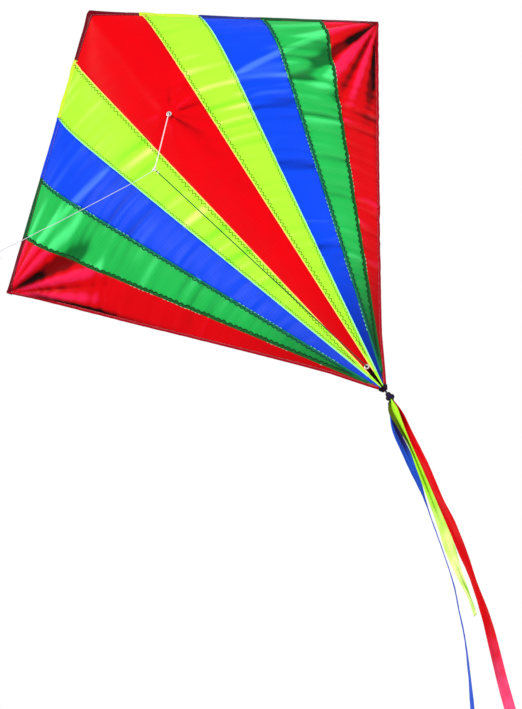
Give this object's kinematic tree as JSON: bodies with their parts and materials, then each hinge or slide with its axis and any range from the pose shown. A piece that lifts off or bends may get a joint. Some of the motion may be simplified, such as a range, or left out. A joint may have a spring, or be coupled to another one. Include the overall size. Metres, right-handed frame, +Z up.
{
  "type": "diamond kite",
  "caption": "Bowed diamond kite: striped sail on a spine and bowed cross spar, with a bridle, flying line end and ribbon tails.",
  "frame": {"origin": "front of the sail on the spine, level with the cross spar, where the bridle's upper leg starts", "axes": "+Z up along the spine to the nose, -Y out of the sail's front towards the flying line, +X to the sail's right as seen from the front"},
  "size_m": [0.6244, 0.8156, 1.16],
  "materials": {
    "cloth_red": "thin coated woven sailcloth, slightly glossy",
    "cloth_yellow": "thin coated woven sailcloth, slightly glossy",
    "cloth_blue": "thin coated woven sailcloth, slightly glossy",
    "cloth_green": "thin coated woven sailcloth, slightly glossy",
    "cloth_dark_red": "doubled sailcloth, sewn",
    "rod": "smooth fibreglass rod",
    "plastic_black": "moulded plastic",
    "eyelet_metal": "plated, rolled",
    "cord_white": "braided cord",
    "cord_dark": "braided cord",
    "cord_black": "braided cord"
  },
  "bodies": {
    "kite": {"panel_centre_red": "cloth_red", "panel_left_yellow": "cloth_yellow", "panel_left_blue": "cloth_blue", "panel_left_green": "cloth_green", "panel_left_red": "cloth_red", "panel_right_yellow": "cloth_yellow", "panel_right_blue": "cloth_blue", "panel_right_green": "cloth_green", "panel_right_red": "cloth_red", "nose_pocket": "cloth_dark_red", "tail_pocket": "cloth_dark_red", "left_tip_pocket": "cloth_dark_red", "right_tip_pocket": "cloth_dark_red", "spine": "rod", "cross_spar": "rod", "cross_connector": "plastic_black", "nose_cap": "plastic_black", "tail_cap": "plastic_black", "left_nock": "plastic_black", "right_nock": "plastic_black", "bow_line": "cord_white", "upper_eyelet": "eyelet_metal", "upper_washer": "eyelet_metal", "upper_tie": "cord_white", "lower_eyelet": "eyelet_metal", "lower_washer": "eyelet_metal", "lower_tie": "cord_dark"},
    "tensioner": {"bow_tensioner": "plastic_black"},
    "bridle": {"bridle_upper_leg": "cord_white", "bridle_lower_leg": "cord_dark", "tow_ring": "cord_white"},
    "line": {"line_hitch": "cord_white", "flying_line": "cord_white", "line_end_knot": "cord_white", "line_end_loop": "cord_white"},
    "tail": {"tail_loop": "cord_black", "tail_knot": "cord_black"},
    "red_tail_ribbon": {"red_ribbon": "cloth_red"},
    "yellow_tail_ribbon": {"yellow_ribbon": "cloth_yellow"},
    "blue_tail_ribbon": {"blue_ribbon": "cloth_blue"}
  },
  "joints": [
    {"name": "tensioner_slide", "type": "slide", "parent": "kite", "child": "tensioner", "axis": [1, 0, 0], "range_m": [-0.06, 0.12]},
    {"name": "bridle_swing", "type": "hinge", "parent": "kite", "child": "bridle", "pos_m": [0, -0.002, 0], "axis": [0, 0, 1], "range_deg": [-55, 105]},
    {"name": "line_pitch", "type": "hinge", "parent": "bridle", "child": "line", "pos_m": [-0.07, -0.152, -0.116], "axis": [0.9083, -0.4183, 0], "range_deg": [-80, 60]},
    {"name": "tail_swing", "type": "hinge", "parent": "kite", "child": "tail", "pos_m": [0, 0.0044, -0.4895], "axis": [1, 0, 0], "range_deg": [-15, 75]},
    {"name": "red_ribbon_sway", "type": "hinge", "parent": "tail", "child": "red_tail_ribbon", "pos_m": [0, 0.0044, -0.4981], "axis": [0, 1, 0], "range_deg": [-30, 0]},
    {"name": "yellow_ribbon_sway", "type": "hinge", "parent": "tail", "child": "yellow_tail_ribbon", "pos_m": [0, 0.0044, -0.4981], "axis": [1, 0, 0], "range_deg": [-30, 0]},
    {"name": "blue_ribbon_sway", "type": "hinge", "parent": "tail", "child": "blue_tail_ribbon", "pos_m": [0, 0.0044, -0.4981], "axis": [0, 1, 0], "range_deg": [0, 30]}
  ]
}
